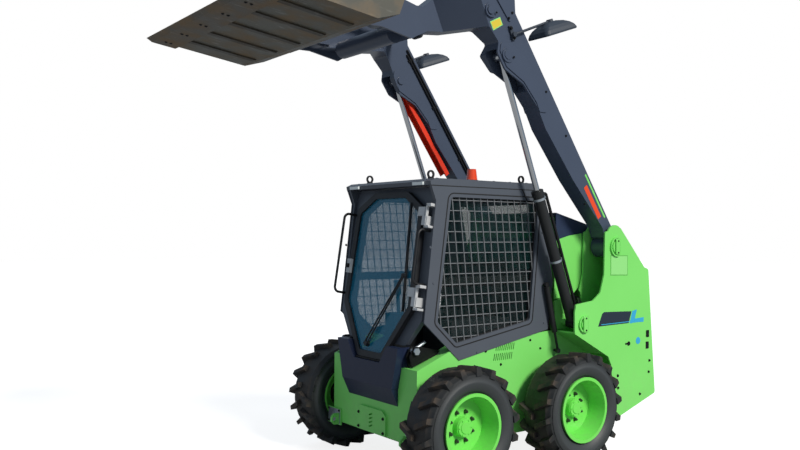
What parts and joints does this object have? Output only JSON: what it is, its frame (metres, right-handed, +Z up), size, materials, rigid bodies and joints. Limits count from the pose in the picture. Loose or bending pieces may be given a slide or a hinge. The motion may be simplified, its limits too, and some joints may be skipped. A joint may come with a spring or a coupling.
{
  "type": "skid steer loader",
  "caption": "Compact wheeled loader with a guarded cab between twin lift arms, drawn with the arms raised and the bucket held high in front.",
  "frame": {"origin": "on the ground under the middle of the machine's overall length and width", "axes": "+Z up, the bucket end faces -Y, the operator's left is +X"},
  "size_m": [1.68, 3.4424, 3.2899],
  "materials": {
    "amber": "translucent",
    "arm_paint": "satin paint",
    "bucket_steel": "worn paint",
    "cast": "raw",
    "chrome": "polished",
    "dark_paint": "satin paint",
    "glass": "tinted",
    "green_paint": "gloss paint",
    "hinge_metal": "cast",
    "lamp": "clear cover",
    "plastic": "moulded",
    "red_paint": "gloss paint",
    "seat": "soft vinyl",
    "tyre": "rubber"
  },
  "bodies": {
    "chassis": {"lower_frame": "green_paint", "axle_housings": "cast", "engine_block": "cast", "tower_left": "green_paint", "tower_right": "green_paint", "cab_frame": "dark_paint", "cab_glass": "glass", "side_guard_left": "dark_paint", "side_guard_right": "dark_paint", "cab_seat": "seat", "cab_controls": "plastic", "kick_panel": "dark_paint", "lifting_eyes": "dark_paint", "roof_lamps": "lamp", "beacon": "amber", "door_hinge_posts": "hinge_metal", "grab_handles": "dark_paint", "gas_struts": "plastic"},
    "door": {"door_frame": "dark_paint", "door_glass": "glass", "door_hinge_leaves": "hinge_metal"},
    "hood": {"engine_hood": "dark_paint"},
    "rear_door": {"rear_door": "green_paint"},
    "lift_arm": {"lift_arm_left": "arm_paint", "lift_arm_right": "arm_paint", "cross_tubes": "arm_paint", "mirrors": "plastic", "arm_pipes": "arm_paint"},
    "arm_lock": {"arm_lock": "red_paint"},
    "bucket": {"bucket_shell": "bucket_steel", "coupler": "arm_paint", "cutting_edge": "bucket_steel", "wear_strips": "bucket_steel"},
    "lift_barrel_left": {"lift_barrel_left": "arm_paint"},
    "lift_rod_left": {"lift_rod_left": "chrome"},
    "lift_barrel_right": {"lift_barrel_right": "arm_paint"},
    "lift_rod_right": {"lift_rod_right": "chrome"},
    "tilt_barrel_left": {"tilt_barrel_left": "arm_paint"},
    "tilt_rod_left": {"tilt_rod_left": "chrome"},
    "tilt_barrel_right": {"tilt_barrel_right": "arm_paint"},
    "tilt_rod_right": {"tilt_rod_right": "chrome"},
    "wheel_front_left": {"tyre_front_left": "tyre", "rim_front_left": "green_paint"},
    "wheel_front_right": {"tyre_front_right": "tyre", "rim_front_right": "green_paint"},
    "wheel_rear_left": {"tyre_rear_left": "tyre", "rim_rear_left": "green_paint"},
    "wheel_rear_right": {"tyre_rear_right": "tyre", "rim_rear_right": "green_paint"}
  },
  "joints": [
    {"name": "boom", "type": "hinge", "parent": "chassis", "child": "lift_arm", "pos_m": [0, 1.23, 1.5], "axis": [1, 0, 0], "range_deg": [0, 70.03]},
    {"name": "bucket_tilt", "type": "hinge", "parent": "lift_arm", "child": "bucket", "pos_m": [0, -0.665, 2.966], "axis": [-1, 0, 0], "range_deg": [-48, 90]},
    {"name": "door_swing", "type": "hinge", "parent": "chassis", "child": "door", "pos_m": [0.418, -0.47395, 0.75062], "axis": [0, -0.1557, -0.9878], "range_deg": [-90, 0]},
    {"name": "hood_lift", "type": "hinge", "parent": "chassis", "child": "hood", "pos_m": [0, 0.865, 1.705], "axis": [1, 0, 0], "range_deg": [0, 60]},
    {"name": "rear_door_swing", "type": "hinge", "parent": "chassis", "child": "rear_door", "pos_m": [0.48, 1.7154, 0.52402], "axis": [0, 0.088, -0.9961], "range_deg": [0, 100]},
    {"name": "arm_lock_swing", "type": "hinge", "parent": "lift_arm", "child": "arm_lock", "pos_m": [0, 0.245, 2.68], "axis": [1, 0, 0], "range_deg": [-14, 0]},
    {"name": "lift_barrel_left_swing", "type": "hinge", "parent": "chassis", "child": "lift_barrel_left", "pos_m": [0.595, 0.885, 0.957], "axis": [1, 0, 0], "range_deg": [0, 69.42]},
    {"name": "lift_rod_left_slide", "type": "slide", "parent": "lift_barrel_left", "child": "lift_rod_left", "axis": [0, -0.3669, 0.9303], "range_m": [-0.7386, 0]},
    {"name": "lift_barrel_right_swing", "type": "hinge", "parent": "chassis", "child": "lift_barrel_right", "pos_m": [-0.595, 0.885, 0.957], "axis": [1, 0, 0], "range_deg": [0, 69.42]},
    {"name": "lift_rod_right_slide", "type": "slide", "parent": "lift_barrel_right", "child": "lift_rod_right", "axis": [0, -0.3669, 0.9303], "range_m": [-0.7386, 0]},
    {"name": "tilt_barrel_left_swing", "type": "hinge", "parent": "lift_arm", "child": "tilt_barrel_left", "pos_m": [0.19, 0.065, 3.06], "axis": [1, 0, 0], "range_deg": [-4.4, 8.2]},
    {"name": "tilt_rod_left_slide", "type": "slide", "parent": "tilt_barrel_left", "child": "tilt_rod_left", "axis": [0, -0.994, 0.1096], "range_m": [-0.2255, 0.1205]},
    {"name": "tilt_barrel_right_swing", "type": "hinge", "parent": "lift_arm", "child": "tilt_barrel_right", "pos_m": [-0.19, 0.065, 3.06], "axis": [1, 0, 0], "range_deg": [-4.4, 8.2]},
    {"name": "tilt_rod_right_slide", "type": "slide", "parent": "tilt_barrel_right", "child": "tilt_rod_right", "axis": [0, -0.994, 0.1096], "range_m": [-0.2255, 0.1205]},
    {"name": "wheel_front_left_spin", "type": "hinge", "parent": "chassis", "child": "wheel_front_left", "pos_m": [0.69, -0.24, 0.3865], "axis": [1, 0, 0], "continuous": true},
    {"name": "wheel_front_right_spin", "type": "hinge", "parent": "chassis", "child": "wheel_front_right", "pos_m": [-0.69, -0.24, 0.3865], "axis": [1, 0, 0], "continuous": true},
    {"name": "wheel_rear_left_spin", "type": "hinge", "parent": "chassis", "child": "wheel_rear_left", "pos_m": [0.69, 0.77, 0.3865], "axis": [1, 0, 0], "continuous": true},
    {"name": "wheel_rear_right_spin", "type": "hinge", "parent": "chassis", "child": "wheel_rear_right", "pos_m": [-0.69, 0.77, 0.3865], "axis": [1, 0, 0], "continuous": true}
  ],
  "couplings": [
    {"joint": "lift_barrel_left_swing", "follows": "boom", "ratio": 0.99102},
    {"joint": "lift_rod_left_slide", "follows": "boom", "m_per_rad": -0.60387},
    {"joint": "lift_barrel_right_swing", "follows": "boom", "ratio": 0.99102},
    {"joint": "lift_rod_right_slide", "follows": "boom", "m_per_rad": -0.60387},
    {"joint": "tilt_barrel_left_swing", "follows": "bucket_tilt", "ratio": 0.09},
    {"joint": "tilt_rod_left_slide", "follows": "bucket_tilt", "m_per_rad": -0.14324},
    {"joint": "tilt_barrel_right_swing", "follows": "bucket_tilt", "ratio": 0.09},
    {"joint": "tilt_rod_right_slide", "follows": "bucket_tilt", "m_per_rad": -0.14324}
  ]
}
